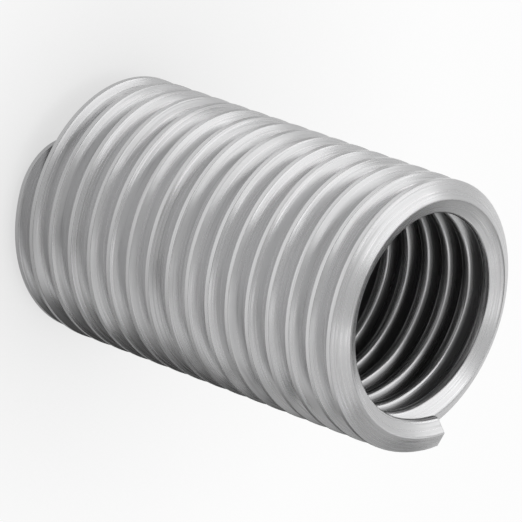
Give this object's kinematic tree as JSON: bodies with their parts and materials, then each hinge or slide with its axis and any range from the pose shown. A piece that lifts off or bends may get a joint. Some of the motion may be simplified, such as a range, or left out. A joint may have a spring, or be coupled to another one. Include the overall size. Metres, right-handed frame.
{
  "type": "threaded insert",
  "caption": "Wire thread insert: diamond section wire wound into a coil, threaded inside and out, with a drive tang across the lower end of its bore.",
  "frame": {"origin": "on the coil's axis, at the level of the underside of the tang, which the insert stands on", "axes": "+Z along the coil's axis towards the entry end, X along the drive tang"},
  "size_m": [0.02, 0.02, 0.0346],
  "materials": {
    "stainless_wire": "satin drawn stainless wire with fine scratches along its length"
  },
  "bodies": {
    "root": {"coiled_wire": "stainless_wire"}
  },
  "joints": []
}
